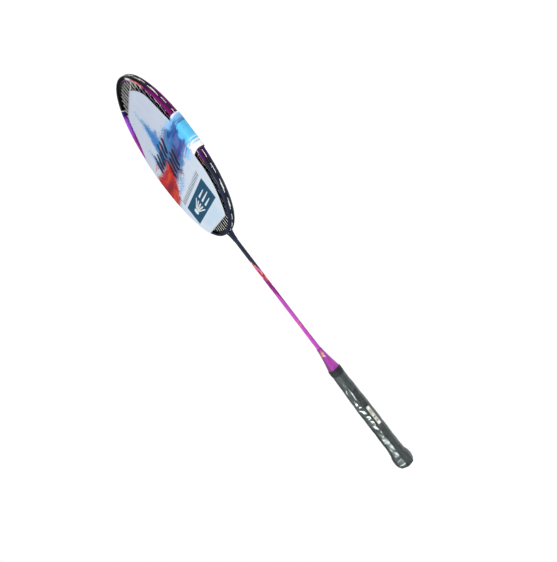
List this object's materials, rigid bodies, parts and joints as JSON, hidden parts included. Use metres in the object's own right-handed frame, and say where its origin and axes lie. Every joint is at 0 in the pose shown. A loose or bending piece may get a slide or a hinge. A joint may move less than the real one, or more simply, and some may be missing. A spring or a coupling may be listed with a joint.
{
  "type": "badminton racket",
  "caption": "Badminton racket with a strung oval head, slim shaft, tapered cone and wrapped eight-sided handle, still wearing its head card and clear grip film.",
  "frame": {"origin": "centre of the flat end of the butt", "axes": "+Y from the butt to the tip of the head, along the shaft; +Z out of the string bed's upper face, so the racket lies on its back; +X to the right of the head seen from +Z with the tip up"},
  "size_m": [0.2017, 0.675, 0.0296],
  "materials": {
    "frame_lacquer": "blue-black gloss lacquer fading into magenta and violet, over carbon laminate",
    "throat_lacquer": "blue-black gloss lacquer",
    "joint_nylon": "moulded, hidden",
    "shaft_lacquer": "gloss lacquer, blue-black at the throat fading to magenta at the cone",
    "cone_lacquer": "magenta gloss lacquer",
    "handle_wood": "sanded, hidden under the grip",
    "butt_plastic": "moulded, satin",
    "grip_pu": "embossed soft grip",
    "finishing_tape": "elastic tape",
    "clear_film": "thin clear wrapping film, creased",
    "sticker_paper": "white paper with plain bars",
    "label_film": "dark label",
    "grommet_nylon": "black nylon",
    "string_nylon": "white braided multifilament",
    "card_board": "coated printed board, satin",
    "board_black": "black through-dyed board, matte"
  },
  "bodies": {
    "root": {"head_frame": "frame_lacquer", "throat_cover": "throat_lacquer", "t_joint": "joint_nylon", "shaft": "shaft_lacquer", "handle_cone": "cone_lacquer", "handle_core": "handle_wood", "butt_cap": "butt_plastic", "grip_wrap": "grip_pu", "grip_finishing_tape": "finishing_tape", "grip_film": "clear_film", "barcode_sticker": "sticker_paper", "grip_label": "label_film", "grommet_strip_1": "grommet_nylon", "grommet_strip_2": "grommet_nylon", "grommet_strip_3": "grommet_nylon", "grommet_strip_4": "grommet_nylon", "grommet_strip_5": "grommet_nylon", "grommet_strip_6": "grommet_nylon", "grommet_strip_7": "grommet_nylon", "grommet_strip_8": "grommet_nylon", "main_string": "string_nylon", "cross_string": "string_nylon", "backing_board": "board_black", "display_card": "card_board"}
  },
  "joints": []
}
